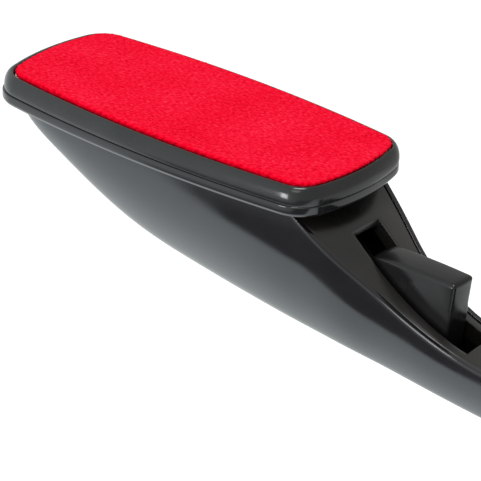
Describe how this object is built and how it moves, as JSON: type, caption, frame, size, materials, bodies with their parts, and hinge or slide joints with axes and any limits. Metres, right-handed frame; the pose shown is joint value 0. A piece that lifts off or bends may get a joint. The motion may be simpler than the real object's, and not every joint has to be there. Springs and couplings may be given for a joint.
{
  "type": "swivel-head velvet lint brush",
  "caption": "Hand-held lint brush: a red velvet pad on a swivelling head, a boat-shaped black hull and handle, and a thumb lever that unlocks the head.",
  "frame": {"origin": "centre of the pad's flat working face, on the swivel axis", "axes": "+Z out of the pad's working face, +X along the handle, towards its free end"},
  "size_m": [0.2399, 0.0544, 0.0601],
  "materials": {
    "gloss_black": "glossy moulded black plastic",
    "satin_black": "satin moulded black plastic",
    "lever_black": "semi-gloss moulded black plastic",
    "red_velvet": "short dense one-way nap",
    "pale_foam": "closed-cell foam sheet",
    "steel": "zinc-plated"
  },
  "bodies": {
    "handle": {"body_shell": "gloss_black", "swivel_deck": "satin_black", "handle_cover": "satin_black", "lever_pin": "steel", "wave_washer": "steel", "lock_spring": "steel", "deck_screw_1": "steel", "deck_screw_2": "steel", "deck_screw_3": "steel", "deck_screw_4": "steel", "cover_screw_1": "steel", "cover_screw_2": "steel"},
    "head": {"head_frame": "gloss_black", "head_base": "gloss_black", "pad_board": "satin_black", "pad_foam": "pale_foam", "velvet_pad": "red_velvet", "swivel_washer": "steel", "swivel_screw": "steel", "head_screw_1": "steel", "head_screw_2": "steel", "head_screw_3": "steel", "head_screw_4": "steel"},
    "lever": {"release_lever": "lever_black"},
    "plunger": {"lock_plunger": "satin_black"}
  },
  "joints": [
    {"name": "head_swivel", "type": "hinge", "parent": "handle", "child": "head", "pos_m": [0, 0, -0.0095], "axis": [0, 0, 1], "continuous": true},
    {"name": "lever_press", "type": "hinge", "parent": "handle", "child": "lever", "pos_m": [0.024, 0, -0.0162], "axis": [0, 1, 0], "range_deg": [-4, 6], "stiffness_Nm_per_rad": 1.3, "springref_deg": -12.61},
    {"name": "plunger_slide", "type": "slide", "parent": "handle", "child": "plunger", "axis": [0, 0, -1], "range_m": [-0.0016, 0.0024], "deforming": ["lock_spring"]}
  ],
  "couplings": [
    {"joint": "plunger_slide", "follows": "lever_press", "m_per_rad": 0.022}
  ]
}
